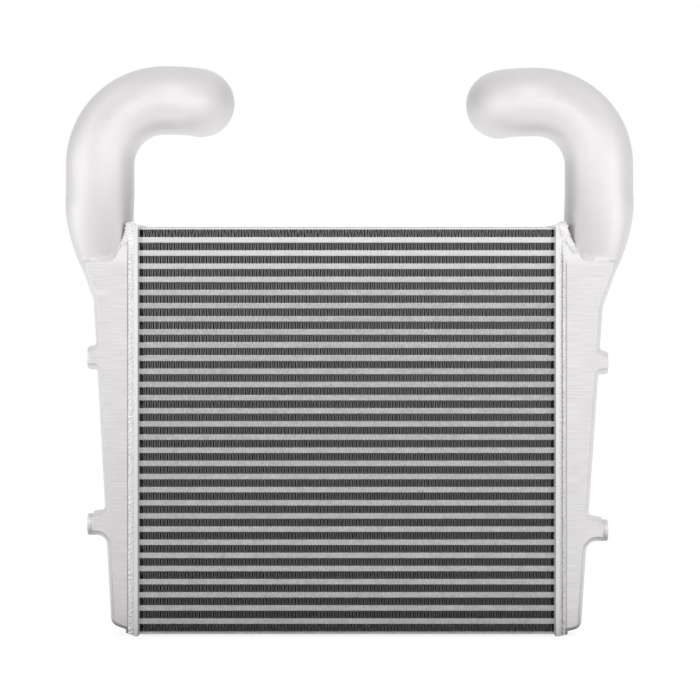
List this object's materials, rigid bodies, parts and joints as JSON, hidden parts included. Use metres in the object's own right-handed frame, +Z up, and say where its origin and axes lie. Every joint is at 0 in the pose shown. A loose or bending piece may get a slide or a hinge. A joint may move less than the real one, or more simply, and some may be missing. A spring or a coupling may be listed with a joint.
{
  "type": "intercooler",
  "caption": "Tall bar-and-plate intercooler with cast aluminium end tanks, each rising into an elbow pipe that turns over the core to a hose spigot at the rear.",
  "frame": {"origin": "centre of the underside of the core's bottom side plate", "axes": "+X across the core towards the right tank, +Y from the front face through the core towards the hose spigots at the rear, +Z up from the feet to the pipes"},
  "size_m": [0.7326, 0.1345, 0.7315],
  "materials": {
    "cast_tank": "linished and satin cast aluminium",
    "header": "plain mill aluminium",
    "weld": "rippled weld",
    "core_bars": "brazed grey aluminium",
    "fin_foil": "dull folded foil",
    "turbulator_foil": "dull folded foil"
  },
  "bodies": {
    "root": {"ambient_fins": "fin_foil", "bottom_side_plate": "core_bars", "charge_tube_01": "core_bars", "charge_tube_02": "core_bars", "charge_tube_03": "core_bars", "charge_tube_04": "core_bars", "charge_tube_05": "core_bars", "charge_tube_06": "core_bars", "charge_tube_07": "core_bars", "charge_tube_08": "core_bars", "charge_tube_09": "core_bars", "charge_tube_10": "core_bars", "charge_tube_11": "core_bars", "charge_tube_12": "core_bars", "charge_tube_13": "core_bars", "charge_tube_14": "core_bars", "charge_tube_15": "core_bars", "charge_tube_16": "core_bars", "charge_tube_17": "core_bars", "charge_tube_18": "core_bars", "charge_tube_19": "core_bars", "charge_tube_20": "core_bars", "charge_tube_21": "core_bars", "charge_tube_22": "core_bars", "charge_tube_23": "core_bars", "charge_tube_24": "core_bars", "charge_tube_25": "core_bars", "charge_tube_26": "core_bars", "charge_tube_27": "core_bars", "charge_tube_28": "core_bars", "charge_tube_29": "core_bars", "charge_tube_30": "core_bars", "left_end_bars": "core_bars", "left_header": "header", "left_tank": "cast_tank", "left_weld": "weld", "right_end_bars": "core_bars", "right_header": "header", "right_tank": "cast_tank", "right_weld": "weld", "top_side_plate": "core_bars", "turbulators": "turbulator_foil"}
  },
  "joints": []
}
